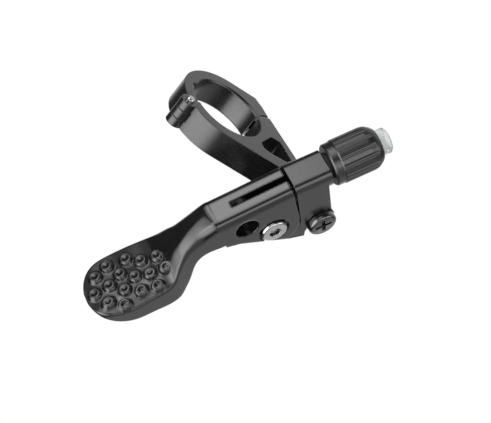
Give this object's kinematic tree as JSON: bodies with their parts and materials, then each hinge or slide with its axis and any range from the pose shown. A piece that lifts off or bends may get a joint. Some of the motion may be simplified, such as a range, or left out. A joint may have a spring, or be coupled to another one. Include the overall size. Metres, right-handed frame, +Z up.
{
  "type": "dropper post remote lever",
  "caption": "Handlebar thumb lever for a dropper seatpost cable: hinged clamp, windowed arm, pivoting studded lever and a fluted barrel adjuster.",
  "frame": {"origin": "centre of the handlebar bore at the clamp's mid width", "axes": "+X along the handlebar towards the stem side, +Y forward, away from the rider, +Z up; the lever hangs below the bar"},
  "size_m": [0.0791, 0.0577, 0.0567],
  "materials": {
    "arm_black": "satin black anodised forging",
    "body_black": "satin black anodised casting",
    "black_steel": "black oxide steel",
    "bright_steel": "bright zinc plated steel",
    "bearing_plastic": "natural acetal",
    "brass_insert": "turned brass",
    "knob_black": "semi-gloss black moulding",
    "pale_plastic": "translucent white moulding",
    "black_rubber": "matt black rubber"
  },
  "bodies": {
    "mount": {"clamp_arm": "arm_black", "clamp_band": "arm_black", "hinge_pin": "bright_steel", "clamp_bolt": "black_steel", "clamp_bolt_washer": "black_steel", "foot_screw": "black_steel", "foot_lock_washer": "black_steel", "housing": "body_black", "pivot_bush_front": "bearing_plastic", "pivot_bush_back": "bearing_plastic", "thrust_washer_front": "bearing_plastic", "thrust_washer_back": "bearing_plastic", "thread_bush": "brass_insert"},
    "lever": {"lever_blade": "body_black", "pivot_bolt": "bright_steel", "pivot_axle": "bright_steel"},
    "ferrule": {"cable_insert": "pale_plastic"},
    "adjuster": {"adjuster_knob": "knob_black", "adjuster_barrel": "bright_steel", "seal_ring": "black_rubber"}
  },
  "joints": [
    {"name": "lever_press", "type": "hinge", "parent": "mount", "child": "lever", "pos_m": [-0.00638, 0.00554, -0.0318], "axis": [0, 0, -1], "range_deg": [0, 35]},
    {"name": "adjuster_travel", "type": "slide", "parent": "mount", "child": "ferrule", "axis": [0.7314, 0.682, 0], "range_m": [0, 0.0032]},
    {"name": "adjuster_turn", "type": "hinge", "parent": "ferrule", "child": "adjuster", "pos_m": [0.01575, 0.01114, -0.0318], "axis": [0.7314, 0.682, 0], "range_deg": [0, 1440]}
  ],
  "couplings": [
    {"joint": "adjuster_turn", "follows": "adjuster_travel", "rad_per_m": 7854}
  ]
}
